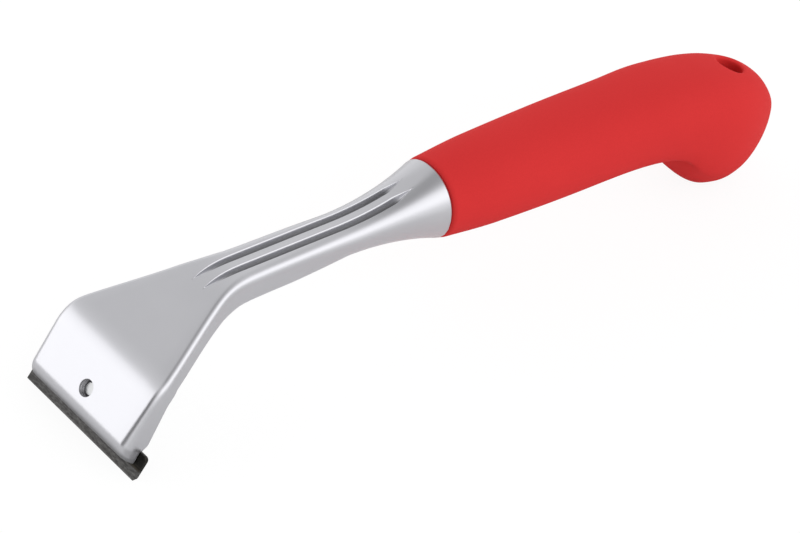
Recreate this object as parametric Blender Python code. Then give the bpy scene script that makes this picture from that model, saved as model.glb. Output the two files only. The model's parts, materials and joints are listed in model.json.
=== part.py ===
"""Hand paint scraper: cast head with a clamped blade, on a soft grip over a rigid core.

Run with: blender --background --python part.py
The tool lies along X, from the blade to the handle's end, with +Z up and Y = 0 as its mid-plane.
Sizes are written as millimetres times MM, so every object is in metres.
"""
import math

import bmesh
import bpy
from mathutils import Matrix, Vector

MM = 0.001

# Fits
GAP = 0.3 * MM              # clearance between pieces that seat on each other
PAST = 2.0 * MM             # how far a cutter runs past the face that it opens

# Blade
LEAN = math.radians(33)     # blade and lip lean back from upright
BLADE_WIDTH = 50 * MM
BLADE_HEIGHT = 7.0 * MM
BLADE_THICK = 1.5 * MM
BLADE_CORNER = 1.3 * MM
BLADE_SHOWS = 4.0 * MM      # strip that shows below the lip

# Head: the lip in front of the blade, then a plate up to the neck
LIP_WIDTH = 44 * MM
LIP_THICK = 6.8 * MM
LIP_LENGTH = 26.8 * MM      # from the blade's edge to the bend, along the lip
NOSE_RADIUS = 4.6 * MM
FLANGE_RISE = 2.2 * MM      # how far the lip's side flanges stand behind its seat
FLANGE_CHAMFER = 4.4 * MM   # height of their sloping lower ends
BLADE_LEDGE = 0.5 * MM      # square step above the blade, before that slope
SEAT_RELIEF = 0.3 * MM      # the clamp's recess is this much deeper than the blade's seat
BEND_RADIUS = 17 * MM
BEND_RISE = 0.3 * MM        # how far the flanges stand behind the seat at the bend
PLATE_SLOPE = math.radians(20.3)
PLATE_LENGTH = 36 * MM      # from bend to neck, along the plate
PLATE_DEPTH = 7.0 * MM      # depth of the plate's side walls
TAPER_START = 1.6 * MM      # past the bend
SIDE_TAPER = math.radians(23.3)
BEND_FILLET = 1.5 * MM      # softness of the sides' corners where the taper starts and ends
NECK_FILLET = 4.2 * MM
HEAD_WALL = 3.0 * MM
EDGE_RADIUS = 1.6 * MM
UNDER_RADIUS = 0.9 * MM
SHOULDER_RADIUS = 40 * MM   # where the plate levels out into the neck

# Neck, collar and tang
NECK_WIDTH = 14.4 * MM
NECK_DEPTH = 9.0 * MM
NECK_EDGE = 3.2 * MM
COLLAR_AT = 119.3 * MM      # from the blade's edge to the collar's rear face
COLLAR_RADIUS = 11.9 * MM
FLARE_LENGTH = 36 * MM
FLARE_POWER = 2.2           # how suddenly the neck flares
ROUND_EDGE = 0.96           # corner radius of a round section, as a share of its half width
TANG_RADIUS = 5.5 * MM
TANG_LENGTH = 62 * MM
FLUTE_START = 37 * MM       # from the blade's edge
FLUTE_END = 110 * MM
FLUTE_SPACING = 5.2 * MM
FLUTE_WIDTH = 3.0 * MM
FLUTE_DEPTH = 1.3 * MM

# Clamp
SCREW_AT = 12.7 * MM        # from the blade's edge, along the lip
SCREW_RADIUS = 2.5 * MM
SCREW_RECESS = 1.8 * MM     # its end lies this far inside the lip's front face
SCREW_HEAD_RADIUS = 5.2 * MM
SCREW_HEAD_HEIGHT = 3.6 * MM
SCREW_HEAD_EDGE = 0.8 * MM
SOCKET_RADIUS = 2.3 * MM
SOCKET_DEPTH = 2.0 * MM
WASHER_RADIUS = 4.9 * MM
WASHER_THICK = 1.3 * MM
WASHER_SPLIT = math.radians(14)
CLAMP_THICK = 2.5 * MM
CLAMP_FOOT = 2.6 * MM
CLAMP_CHAMFER = 0.8 * MM
CLAMP_GRIP = 4.4 * MM       # how much of the blade's height it presses on
CLAMP_REACH = 8.0 * MM      # from the screw's axis to the foot's upper edge
CLAMP_SIDE_GAP = 0.6 * MM   # to each flange

# Handle
GRIP_LENGTH = 139 * MM
GRIP_PROUD = 0.3 * MM       # step up from the collar
SLEEVE_WALL = 3.6 * MM
CORE_END = 8.0 * MM         # the core stops this far short of the grip's end
HOLE_RADIUS = 4.3 * MM
HOLE_LINING = 2.6 * MM
HOLE_FROM_END = 20 * MM
PIN_RADIUS = 2.0 * MM
PIN_LENGTH = 20 * MM
PIN_FROM_TANG_END = 24 * MM

# Side and plan views of the grip, in millimetres from the handle's axis.
# Places near the collar are measured from the collar, and those of the knob from the grip's end.
TOP_NEAR = [(20, 13.1), (46, 13.2)]
TOP_FAR = [(51.4, 12.3), (36.4, 10.8), (22.4, 6.7), (0, 0.6)]
UNDER_NEAR = [(20, -13.5), (46, -14.2)]
NOTCH = (44.7, -17.2)
KNOB_UNDER = [(38.7, -27.2), (31.7, -32.4), (22.7, -34.2), (0, -28.4)]
WIDTH_NEAR = [(20, 13.6), (46, 14.1)]
WIDTH_FAR = [(48.4, 15.3), (32.4, 16.6), (0, 11.8)]
END_ROUND = 28 * MM         # length of the rounded end
SQUARENESS = 0.4            # how much squarer than an oval the knob's sections are
SQUARE_FROM = 80 * MM       # distance from the collar where they are fully so

# Directions of the leaning lip: up along it, and back through its thickness
LIP_UP = Vector((math.sin(LEAN), 0, math.cos(LEAN)))
LIP_BACK = Vector((math.cos(LEAN), 0, -math.sin(LEAN)))
BLADE_FRONT = LIP_THICK + GAP
CLAMP_FRONT = BLADE_FRONT + BLADE_THICK + GAP
WASHER_FRONT = CLAMP_FRONT + CLAMP_THICK + GAP
HEAD_FRONT = WASHER_FRONT + WASHER_THICK + GAP
FLANGE_DEPTH = LIP_THICK + FLANGE_RISE

# Key points, from the middle of the blade's edge
PLATE_ALONG = Vector((math.cos(PLATE_SLOPE), 0, math.sin(PLATE_SLOPE)))
LIP_FOOT = -BLADE_FRONT * LIP_BACK
BEND = LIP_FOOT + LIP_LENGTH * LIP_UP
SHOULDER = BEND + PLATE_LENGTH * PLATE_ALONG
COLLAR = Vector((COLLAR_AT, 0, SHOULDER.z - NECK_DEPTH / 2))
PIN_MIDDLE = COLLAR + Vector((TANG_LENGTH - PIN_FROM_TANG_END, 0, 0))

cutters = []


def lip_point(up, back, y=0.0):
    """Point up along the lip from the blade's edge, and back from the lip's front face."""
    return LIP_FOOT + up * LIP_UP + back * LIP_BACK + Vector((0, y, 0))


SCREW_AXIS_POINT = lip_point(SCREW_AT, CLAMP_FRONT)


def clear_scene():
    for obj in list(bpy.data.objects):
        bpy.data.objects.remove(obj, do_unlink=True)


def material(name, colour, roughness, metallic):
    mat = bpy.data.materials.new(name)
    mat.use_nodes = True
    shader = mat.node_tree.nodes["Principled BSDF"]
    shader.inputs["Base Color"].default_value = (*colour, 1)
    shader.inputs["Roughness"].default_value = roughness
    shader.inputs["Metallic"].default_value = metallic
    return mat


def add_object(name, bm, mat=None, origin=Vector((0, 0, 0))):
    """Turn a bmesh into a named object whose origin is at a given point."""
    bmesh.ops.recalc_face_normals(bm, faces=bm.faces)
    bmesh.ops.translate(bm, verts=bm.verts, vec=-origin)
    mesh = bpy.data.meshes.new(name)
    bm.to_mesh(mesh)
    bm.free()
    obj = bpy.data.objects.new(name, mesh)
    obj.location = origin
    bpy.context.collection.objects.link(obj)
    if mat:
        mesh.materials.append(mat)
    return obj


def cut(obj, name, bm):
    """Take a shape out of an object, with a helper object that stays hidden."""
    cutter = add_object(f"cutter_{obj.name}_{name}", bm)
    cutter.hide_render = True
    cutter.display_type = 'WIRE'
    cutters.append(cutter)
    mod = obj.modifiers.new(name, 'BOOLEAN')
    mod.operation = 'DIFFERENCE'
    mod.solver = 'EXACT'
    mod.object = cutter
    return cutter


def smooth(obj, angle=math.radians(35)):
    """Shade round faces smooth and keep the sharp edges sharp."""
    obj.data.shade_smooth()
    obj.data.set_sharp_from_angle(angle=angle)


def loft(rings):
    """Closed skin over a row of rings of points, all with the same count."""
    bm = bmesh.new()
    loops = []
    for ring in rings:
        verts = [bm.verts.new(point) for point in ring]
        loops.append([bm.edges.new(pair) for pair in zip(verts, verts[1:] + verts[:1])])
    for near, far in zip(loops, loops[1:]):
        bmesh.ops.bridge_loops(bm, edges=near + far)
    bmesh.ops.holes_fill(bm, edges=loops[0] + loops[-1])
    return bm


def cylinder(start, end, radius, sides=32):
    """Round bar between two points."""
    axis = end - start
    place = Matrix.Translation((start + end) / 2) @ axis.to_track_quat('Z', 'Y').to_matrix().to_4x4()
    bm = bmesh.new()
    bmesh.ops.create_cone(bm, cap_ends=True, segments=sides, radius1=radius, radius2=radius,
                          depth=axis.length, matrix=place)
    return bm


def slab(outline, width):
    """Outline of (up, back) points in the lip's side view, drawn out across Y."""
    bm = bmesh.new()
    face = bm.faces.new([bm.verts.new(lip_point(up, back, -width / 2)) for up, back in outline])
    grown = bmesh.ops.extrude_face_region(bm, geom=[face])["geom"]
    far_side = [item for item in grown if isinstance(item, bmesh.types.BMVert)]
    bmesh.ops.translate(bm, verts=far_side, vec=(0, width, 0))
    return bm


def block(up, back, width):
    """Box between two limits up the lip and two limits back through it."""
    return slab([(up[0], back[0]), (up[1], back[0]), (up[1], back[1]), (up[0], back[1])], width)


def curve_through(points):
    """Smooth function through (x, value) points that doesn't overshoot between them."""
    points = sorted(points)
    steps = [(y1 - y0) / (x1 - x0) for (x0, y0), (x1, y1) in zip(points, points[1:])]
    slopes = [steps[0]]
    for before, after in zip(steps, steps[1:]):
        slopes.append(2 * before * after / (before + after) if before * after > 0 else 0.0)
    slopes.append(steps[-1])

    def value(x):
        i = max([j for j in range(len(steps)) if points[j][0] <= x], default=0)
        (x0, y0), (x1, y1) = points[i], points[i + 1]
        t = min((x - x0) / (x1 - x0), 1.0)
        start, stop, rise = slopes[i] * (x1 - x0), slopes[i + 1] * (x1 - x0), y1 - y0
        return y0 + t * (start + t * (3 * rise - 2 * start - stop + t * (start + stop - 2 * rise)))

    return value


def softer_least(a, b, blend):
    """The smaller of two values, with the corner between them rounded off."""
    return (a + b - math.hypot(a - b, blend)) / 2


def corner_arc(before, corner, after, radius, steps):
    """Points and headings round one corner of the head's top line."""
    into = (corner - before).normalized()
    out = (after - corner).normalized()
    turn = into.angle(out)
    axis = into.cross(out).normalized()
    start = corner - radius * math.tan(turn / 2) * into
    centre = start + radius * axis.cross(into)
    spins = [Matrix.Rotation(turn * i / steps, 3, axis) for i in range(steps + 1)]
    return [(centre + spin @ (start - centre), spin @ into) for spin in spins]


def section(top, along, half_width, depth, edge, under_edge, drop=0.0, steps=5):
    """Rounded rectangle that hangs below a point of the top line, square to its heading."""
    down = Vector((along.z, 0, -along.x))
    corners = ((-1, drop + edge, edge), (-1, depth - under_edge, under_edge),
               (1, depth - under_edge, under_edge), (1, drop + edge, edge))
    points = []
    for quarter, (side, level, radius) in enumerate(corners):
        for i in range(steps + 1):
            angle = math.radians(270 - 90 * (quarter + i / steps))
            across = side * (half_width - radius) + radius * math.cos(angle)
            low = level + radius * math.sin(angle)
            points.append(top + low * down + Vector((0, across, 0)))
    return points


def plate_half_width(along_plate):
    """Half the head's width, by distance past the bend: straight sides that end in fillets."""
    wide = LIP_WIDTH / 2
    tapered = wide - math.tan(SIDE_TAPER) * (along_plate - TAPER_START)
    narrow = NECK_WIDTH / 2
    return -softer_least(-softer_least(wide, tapered, BEND_FILLET), -narrow, NECK_FILLET)


def nose_sections():
    """Rounded lower end of the lip."""
    rings = []
    for i in range(5):
        angle = math.radians(90 * i / 4)
        drop = NOSE_RADIUS * (1 - math.sin(angle))
        up = BLADE_SHOWS + NOSE_RADIUS * (1 - math.cos(angle))
        rings.append(section(lip_point(up, 0), LIP_UP, LIP_WIDTH / 2 - 0.6 * drop, FLANGE_DEPTH,
                             EDGE_RADIUS, UNDER_RADIUS, drop))
    return rings


def plate_line():
    """Points and headings of the head's top line, from the bend to the neck."""
    bend = corner_arc(LIP_FOOT, BEND, SHOULDER, BEND_RADIUS, 6)
    level = SHOULDER + Vector((COLLAR_AT, 0, 0))
    shoulder = corner_arc(BEND, SHOULDER, level, SHOULDER_RADIUS, 6)
    straight = shoulder[0][0] - bend[-1][0]
    middle = [(bend[-1][0] + share * straight, PLATE_ALONG) for share in (0.2, 0.4, 0.6, 0.8)]
    return bend, middle, shoulder


def plate_sections():
    """Bend, plate and shoulder, with the depth going from the bend's to the neck's."""
    bend, middle, shoulder = plate_line()
    stations = bend + middle + shoulder
    depth = curve_through([(0, LIP_THICK + BEND_RISE), (0.4, PLATE_DEPTH), (0.75, PLATE_DEPTH),
                           (1, NECK_DEPTH)])
    edge = curve_through([(0, EDGE_RADIUS), (0.6, EDGE_RADIUS), (1, NECK_EDGE)])
    under = curve_through([(0, UNDER_RADIUS), (0.6, UNDER_RADIUS), (1, NECK_EDGE)])
    rings = []
    for i, (point, along) in enumerate(stations):
        share = i / (len(stations) - 1)
        past_bend = (point - BEND).dot(PLATE_ALONG)
        rings.append(section(point, along, plate_half_width(past_bend), depth(share),
                             edge(share), under(share)))
    return rings


def neck_share(x):
    """How far the neck has flared into the collar at a distance from the blade's edge."""
    return max(0.0, (x - COLLAR_AT + FLARE_LENGTH) / FLARE_LENGTH) ** FLARE_POWER


def neck_top(x):
    return SHOULDER.z + neck_share(x) * (COLLAR_RADIUS - NECK_DEPTH / 2)


def neck_sections():
    """Neck that flares into the round collar, and the tang behind it."""
    forward = Vector((1, 0, 0))
    flare_start = COLLAR_AT - FLARE_LENGTH
    shoulder_end = plate_line()[2][-1][0].x
    places = [shoulder_end + share * (flare_start - shoulder_end) for share in (0.35, 0.7, 1.0)]
    places += [flare_start + FLARE_LENGTH * i / 10 for i in range(2, 11)]
    rings = []
    for x in places:
        share = neck_share(x)
        half_width = plate_half_width((x - BEND.x) / PLATE_ALONG.x)
        half_width += share * (COLLAR_RADIUS - half_width)
        depth = NECK_DEPTH + share * (2 * COLLAR_RADIUS - NECK_DEPTH)
        edge = NECK_EDGE + share * (ROUND_EDGE * COLLAR_RADIUS - NECK_EDGE)
        rings.append(section(Vector((x, 0, neck_top(x))), forward, half_width, depth, edge, edge))
    for x in (COLLAR_AT, COLLAR_AT + TANG_LENGTH):
        top = Vector((x, 0, COLLAR.z + TANG_RADIUS))
        edge = ROUND_EDGE * TANG_RADIUS
        rings.append(section(top, forward, TANG_RADIUS, 2 * TANG_RADIUS, edge, edge))
    return rings


def hollow_sections():
    """Space under the plate, between its side walls."""
    bend, _, shoulder = plate_line()
    straight = shoulder[0][0] - bend[-1][0]
    rings = []
    for share in (0.06, 0.3, 0.5, 0.7, 0.94):
        point = bend[-1][0] + share * straight
        inside = plate_half_width((point - BEND).dot(PLATE_ALONG)) - HEAD_WALL
        rings.append(section(point, PLATE_ALONG, inside, PLATE_DEPTH + PAST, UNDER_RADIUS,
                             UNDER_RADIUS, HEAD_WALL))
    return rings


def top_height(x):
    """Height of the head's top line at a distance from the blade's edge, past the bend."""
    points = [(point.x, point.z) for point, _ in sum(plate_line(), [])]
    return curve_through(points)(x) if x < points[-1][0] else neck_top(x)


def flute_sections(y):
    """One pointed groove along the top of the neck."""
    rings = []
    for i in range(17):
        share = i / 16
        x = FLUTE_START + share * (FLUTE_END - FLUTE_START)
        size = max(0.06, 1 - abs(2 * share - 1) ** 5)
        centre = Vector((x, y, top_height(x)))
        angles = [math.radians(30 * k) for k in range(12)]
        rings.append([centre + size * Vector((0, FLUTE_WIDTH / 2 * math.cos(a),
                                              FLUTE_DEPTH * math.sin(a))) for a in angles])
    return rings


def make_head(mat):
    """Casting in one piece: lip, plate, neck, collar and tang."""
    head = add_object("head_casting", loft(nose_sections() + plate_sections() + neck_sections()), mat)
    smooth(head)
    cut(head, "hollow", loft(hollow_sections()))
    behind = (LIP_THICK, FLANGE_DEPTH + PAST)
    below = BLADE_SHOWS - PAST
    shoulder = BLADE_HEIGHT + GAP
    ledge = LIP_THICK + BLADE_LEDGE
    slope = FLANGE_CHAMFER / (FLANGE_DEPTH - ledge)
    rebate = [(below, behind[0]), (shoulder, behind[0]), (shoulder, ledge),
              (shoulder + slope * (behind[1] - ledge), behind[1]), (below, behind[1])]
    cut(head, "blade_rebate", slab(rebate, LIP_WIDTH + 2 * PAST))
    recess = (LIP_THICK - SEAT_RELIEF, FLANGE_DEPTH + 2 * PAST)
    cut(head, "clamp_recess", block((shoulder - GAP / 2, SCREW_AT + CLAMP_REACH + GAP), recess,
                                    LIP_WIDTH - 2 * HEAD_WALL))
    cut(head, "thread_bore", cylinder(lip_point(SCREW_AT, -PAST), lip_point(SCREW_AT, LIP_THICK + PAST),
                                      SCREW_RADIUS + GAP))
    across = Vector((0, TANG_RADIUS + PAST, 0))
    cut(head, "pin_hole", cylinder(PIN_MIDDLE - across, PIN_MIDDLE + across, PIN_RADIUS + GAP, 24))
    for side in (-1, 1):
        cut(head, f"flute_{side}", loft(flute_sections(side * FLUTE_SPACING / 2)))
    return head


def make_blade(mat):
    """Flat steel strip; its ground lower face lies level, with the edge in front."""
    back = BLADE_FRONT + BLADE_THICK
    bevel = BLADE_THICK * math.tan(LEAN)
    bm = slab([(0, BLADE_FRONT), (BLADE_HEIGHT, BLADE_FRONT), (BLADE_HEIGHT, back), (bevel, back)],
              BLADE_WIDTH)
    upper_ends = [edge for edge in bm.edges
                  if abs(edge.calc_length() - BLADE_THICK) < 1e-6
                  and all((vert.co - LIP_FOOT).dot(LIP_UP) > BLADE_HEIGHT / 2 for vert in edge.verts)]
    bmesh.ops.bevel(bm, geom=upper_ends, offset=BLADE_CORNER, segments=4, profile=0.5, affect='EDGES')
    return add_object("blade", bm, mat, lip_point(0, BLADE_FRONT))


def make_clamp_plate(mat):
    """Plate behind the lip: its lower edge presses the blade, its foot stands on the seat."""
    low = BLADE_HEIGHT - CLAMP_GRIP
    high = SCREW_AT + CLAMP_REACH
    back = CLAMP_FRONT + CLAMP_THICK
    foot = LIP_THICK - SEAT_RELIEF + GAP
    outline = [(low, CLAMP_FRONT), (high - CLAMP_FOOT, CLAMP_FRONT), (high - CLAMP_FOOT, foot),
               (high, foot), (high, back - CLAMP_CHAMFER), (high - CLAMP_CHAMFER, back),
               (low + CLAMP_CHAMFER, back), (low, back - CLAMP_CHAMFER)]
    width = LIP_WIDTH - 2 * HEAD_WALL - 2 * CLAMP_SIDE_GAP
    plate = add_object("clamp_plate", slab(outline, width), mat, SCREW_AXIS_POINT)
    cut(plate, "screw_hole", cylinder(lip_point(SCREW_AT, BLADE_FRONT - PAST),
                                      lip_point(SCREW_AT, back + PAST), SCREW_RADIUS + 2 * GAP))
    return plate


def make_washer(mat):
    """Split spring washer, swept round the screw with its slit left open."""
    inner = SCREW_RADIUS + 2 * GAP
    bm = bmesh.new()
    corners = [lip_point(SCREW_AT, WASHER_FRONT) + LIP_UP * radius + LIP_BACK * deep
               for radius, deep in ((inner, 0), (WASHER_RADIUS, 0), (WASHER_RADIUS, WASHER_THICK),
                                    (inner, WASHER_THICK))]
    face = bm.faces.new([bm.verts.new(corner) for corner in corners])
    bmesh.ops.spin(bm, geom=[face], cent=lip_point(SCREW_AT, 0), axis=LIP_BACK, steps=36,
                   angle=2 * math.pi - WASHER_SPLIT)
    washer = add_object("spring_washer", bm, mat, SCREW_AXIS_POINT)
    smooth(washer)
    return washer


def make_screw(mat):
    """Machine screw: its shank is drawn at the thread's core, with a hexagon socket in the head."""
    tip = lip_point(SCREW_AT, SCREW_RECESS)
    under_head = lip_point(SCREW_AT, HEAD_FRONT)
    top = lip_point(SCREW_AT, HEAD_FRONT + SCREW_HEAD_HEIGHT)
    outline = [(0, 0), (SCREW_RADIUS - SCREW_HEAD_EDGE, 0), (SCREW_RADIUS, SCREW_HEAD_EDGE),
               (SCREW_RADIUS, HEAD_FRONT - SCREW_RECESS), (SCREW_HEAD_RADIUS, HEAD_FRONT - SCREW_RECESS),
               (SCREW_HEAD_RADIUS, (top - tip).length - SCREW_HEAD_EDGE),
               (SCREW_HEAD_RADIUS - SCREW_HEAD_EDGE, (top - tip).length), (0, (top - tip).length)]
    bm = bmesh.new()
    verts = [bm.verts.new(tip + LIP_UP * radius + LIP_BACK * along) for radius, along in outline]
    edges = [bm.edges.new(pair) for pair in zip(verts, verts[1:])]
    bmesh.ops.spin(bm, geom=edges, cent=tip, axis=LIP_BACK, steps=32, angle=2 * math.pi)
    bmesh.ops.remove_doubles(bm, verts=bm.verts, dist=0.01 * MM)
    screw = add_object("clamp_screw", bm, mat, SCREW_AXIS_POINT)
    smooth(screw)
    cut(screw, "socket", cylinder(top - SOCKET_DEPTH * LIP_BACK, top + PAST * LIP_BACK, SOCKET_RADIUS, 6))
    return screw


def from_collar(points):
    return [(x * MM, value * MM) for x, value in points]


def from_end(points):
    return [(GRIP_LENGTH - x * MM, value * MM) for x, value in points]


def grip_shape():
    """Upper line, underside and half width of the grip, each by distance from the collar."""
    start = COLLAR_RADIUS + GRIP_PROUD
    notch = from_end([NOTCH])
    upper = curve_through([(0, start)] + from_collar(TOP_NEAR) + from_end(TOP_FAR))
    handle_under = curve_through([(0, -start)] + from_collar(UNDER_NEAR) + notch)
    knob_under = curve_through(notch + from_end(KNOB_UNDER))
    width = curve_through([(0, start)] + from_collar(WIDTH_NEAR) + from_end(WIDTH_FAR))

    def shape(x):
        past = max(0.0, x - GRIP_LENGTH + END_ROUND) / END_ROUND
        size = math.sqrt(max(0.0, 1 - past ** 2))
        top = upper(x)
        under = handle_under(x) if x <= notch[0][0] else knob_under(x)
        middle, half_height = (top + under) / 2, size * (top - under) / 2
        return middle + half_height, middle - half_height, size * width(x)

    return shape


def grip_places(last, count):
    """Section places from the collar on, closer together towards the end, with one at the notch."""
    places = [last * (1 - (1 - i / count) ** 2) for i in range(1, count)]
    notch = from_end([NOTCH])[0][0]
    nearest = min(range(len(places)), key=lambda i: abs(places[i] - notch))
    places[nearest] = notch
    return places


def signed_power(value, power):
    return math.copysign(abs(value) ** power, value)


def oval(x, half_width, top, under, sides):
    """Section across the grip: round at the collar, squarer towards the knob."""
    power = 2 / (2 + SQUARENESS * min(max(x, 0.0) / SQUARE_FROM, 1.0))
    middle, half_height = (top + under) / 2, (top - under) / 2
    points = []
    for i in range(sides):
        angle = 2 * math.pi * (i + 0.5) / sides
        across = half_width * signed_power(math.cos(angle), power)
        up = half_height * signed_power(math.sin(angle), power)
        points.append(COLLAR + Vector((x, across, middle + up)))
    return points


def grip_sections(start, inset=0.0, sides=32):
    """Sections of the grip, or of the space inside it at a given depth below its surface."""
    shape = grip_shape()
    last = GRIP_LENGTH - (CORE_END if inset else 0.02 * MM)
    rings = []
    for x in [start] + grip_places(last, 26 if inset else 44) + [last]:
        near = max(x, 0.0)
        top, under, half_width = shape(near)
        beside = [shape(max(near + shift, 0.0))[1] for shift in (-inset, inset)]
        low = max([under] + beside if near < last - inset else [under])
        rings.append(oval(x, half_width - inset, top - inset, low + inset, sides))
    return rings


def hang_hole(radius):
    """Upright bar at the hanging hole, longer than the knob is tall."""
    foot = COLLAR + Vector((GRIP_LENGTH - HOLE_FROM_END, 0, 0))
    reach = Vector((0, 0, GRIP_LENGTH / 2))
    return cylinder(foot - reach, foot + reach, radius)


def make_core(mat):
    """Rigid core moulded round the tang, with room for the hole's soft lining."""
    core = add_object("handle_core", loft(grip_sections(GAP, SLEEVE_WALL + GAP, 24)), mat)
    smooth(core)
    ahead = Vector((1, 0, 0))
    cut(core, "tang_bore", cylinder(COLLAR - PAST * ahead, COLLAR + (TANG_LENGTH + GAP) * ahead,
                                    TANG_RADIUS + GAP))
    cut(core, "hang_hole", hang_hole(HOLE_RADIUS + HOLE_LINING + GAP))
    across = Vector((0, PIN_LENGTH / 2 + GAP, 0))
    cut(core, "pin_hole", cylinder(PIN_MIDDLE - across, PIN_MIDDLE + across, PIN_RADIUS + GAP, 24))
    return core


def make_pin(mat):
    """Cross pin that locks the core to the tang."""
    half = Vector((0, PIN_LENGTH / 2, 0))
    bm = cylinder(PIN_MIDDLE - half, PIN_MIDDLE + half, PIN_RADIUS, 24)
    pin = add_object("tang_pin", bm, mat, PIN_MIDDLE)
    smooth(pin)
    return pin


def make_grip(mat):
    """Soft sleeve over the core, with the hanging hole lined through its knob."""
    grip = add_object("grip_sleeve", loft(grip_sections(GAP)), mat)
    smooth(grip, math.radians(30))
    space = cut(grip, "core_space", loft(grip_sections(-PAST, SLEEVE_WALL, 24)))
    cut(space, "lining", hang_hole(HOLE_RADIUS + HOLE_LINING))
    cut(grip, "hang_hole", hang_hole(HOLE_RADIUS))
    return grip


def set_down(nodes):
    """Hang every object on one empty, and put the assembly's lower middle at the origin."""
    root = bpy.data.objects.new("scraper", None)
    bpy.context.collection.objects.link(root)
    for obj in nodes + cutters:
        obj.parent = root
    bpy.context.view_layer.update()
    corners = [obj.matrix_world @ Vector(corner) for obj in nodes for corner in obj.bound_box]
    lengthwise = [corner.x for corner in corners]
    root.location = (-(min(lengthwise) + max(lengthwise)) / 2, 0, -min(corner.z for corner in corners))
    bpy.context.view_layer.update()
    return root


def main():
    clear_scene()
    aluminium = material("cast_aluminium", (0.62, 0.62, 0.64), 0.32, 1.0)
    blade_steel = material("blade_steel", (0.09, 0.085, 0.08), 0.5, 0.9)
    plated_steel = material("plated_steel", (0.5, 0.5, 0.5), 0.35, 1.0)
    core_plastic = material("core_plastic", (0.03, 0.03, 0.03), 0.6, 0.0)
    red_rubber = material("red_rubber", (0.66, 0.035, 0.035), 0.6, 0.0)
    nodes = [make_head(aluminium), make_blade(blade_steel), make_clamp_plate(plated_steel),
             make_washer(plated_steel), make_screw(plated_steel), make_core(core_plastic),
             make_pin(plated_steel), make_grip(red_rubber)]
    root = set_down(nodes)
    print("screw axis passes", root.matrix_world @ SCREW_AXIS_POINT, "along", LIP_BACK)
    print("hanging hole at x", root.location.x + COLLAR_AT + GRIP_LENGTH - HOLE_FROM_END)


main()
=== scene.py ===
"""Looks of the paint scraper: satin cast head, dark blade, plated clamp and soft red grip.

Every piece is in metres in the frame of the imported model: X from the blade to the handle's end, +Z up.
"""

import json
import math

import bmesh
import bpy
from mathutils import Matrix, Vector


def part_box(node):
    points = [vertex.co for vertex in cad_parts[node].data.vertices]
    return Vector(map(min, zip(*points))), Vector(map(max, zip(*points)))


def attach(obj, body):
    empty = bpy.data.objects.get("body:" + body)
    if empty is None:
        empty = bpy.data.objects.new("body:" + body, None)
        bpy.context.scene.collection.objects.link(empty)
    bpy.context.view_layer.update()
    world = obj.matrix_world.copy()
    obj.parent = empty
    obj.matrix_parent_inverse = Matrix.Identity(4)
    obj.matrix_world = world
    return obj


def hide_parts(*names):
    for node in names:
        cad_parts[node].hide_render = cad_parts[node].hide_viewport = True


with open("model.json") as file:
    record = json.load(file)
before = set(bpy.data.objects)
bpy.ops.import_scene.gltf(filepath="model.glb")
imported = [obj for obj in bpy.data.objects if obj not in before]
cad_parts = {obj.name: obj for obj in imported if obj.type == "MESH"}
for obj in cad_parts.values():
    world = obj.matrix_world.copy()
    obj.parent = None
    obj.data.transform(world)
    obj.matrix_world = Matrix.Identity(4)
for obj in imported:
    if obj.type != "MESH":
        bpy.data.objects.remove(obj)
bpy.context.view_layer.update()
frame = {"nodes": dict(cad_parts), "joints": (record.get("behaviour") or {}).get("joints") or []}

MM = 0.001
GAP = 0.3 * MM              # clearance between pieces that seat on each other
PAST = 2.0 * MM             # how far a cutting shape runs past the face that it opens
SAME_POINT = 0.003 * MM     # points this close are one point

# Where the frame puts the main pieces
joints = {joint["name"]: joint for joint in frame["joints"]}
blade_low, blade_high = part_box("blade")
grip_low, grip_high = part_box("grip_sleeve")
pin_low, pin_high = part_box("tang_pin")
EDGE = Vector((blade_low.x, 0, blade_low.z))            # middle of the blade's edge
LIP_BACK = Vector(joints["screw_turn"]["axis"]).normalized()
LIP_UP = Vector((-LIP_BACK.z, 0, LIP_BACK.x))
HANDLE_HEIGHT = (pin_low.z + pin_high.z) / 2
COLLAR = Vector((grip_low.x - GAP, 0, HANDLE_HEIGHT))   # middle of the collar's rear face
BLADE_WIDTH = blade_high.y - blade_low.y
GRIP_LENGTH = grip_high.x - COLLAR.x

# Blade
BLADE_HEIGHT = 7.6 * MM
BLADE_THICK = 1.5 * MM
BLADE_CORNER = 1.3 * MM
BLADE_SHOWS = 3.6 * MM
BLADE_BREAK = 0.12 * MM     # worn-off arrises
CORNER_STEPS = 8

# Head: lip, bend, plate and shoulder
LIP_WIDTH = 44.6 * MM
LIP_THICK = 6.8 * MM
LIP_LENGTH = 26.8 * MM
NOSE_RADIUS = 5.0 * MM
LIP_CORNER = 0.5 * MM       # lower corners of the lip, seen from the front
LIP_EDGE = 2.7 * MM         # rounding of the lip's sides, down at the nose
FLANGE_RISE = 2.2 * MM
FLANGE_CHAMFER = 4.4 * MM
BLADE_LEDGE = 0.5 * MM
SEAT_RELIEF = 0.3 * MM
BEND_RADIUS = 17 * MM
BEND_WIDTH = 44.8 * MM      # widest part of the head
BEND_SHARE = 6 / 17         # of the way from the bend to the neck, for the bend and for the shoulder
PLATE_SLOPE = math.radians(20.3)
PLATE_LENGTH = 36 * MM
PLATE_DEPTHS = [(0, 7.0), (0.15, 6.6), (0.3, 6.5), (0.5, 6.35), (0.57, 6.5), (0.65, 7.05), (0.72, 7.75),
                (0.80, 8.4), (0.9, 8.85), (1, 9.2)]    # by share of the way from the bend to the neck
TAPER_START = 2.4 * MM
SIDE_TAPER = math.radians(24.7)
BEND_FILLET = 1.5 * MM
NECK_FILLET = 3.2 * MM
HEAD_WALL = 3.0 * MM
EDGE_RADIUS = 2.0 * MM
UNDER_RADIUS = 0.9 * MM
SHOULDER_RADIUS = 40 * MM
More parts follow.
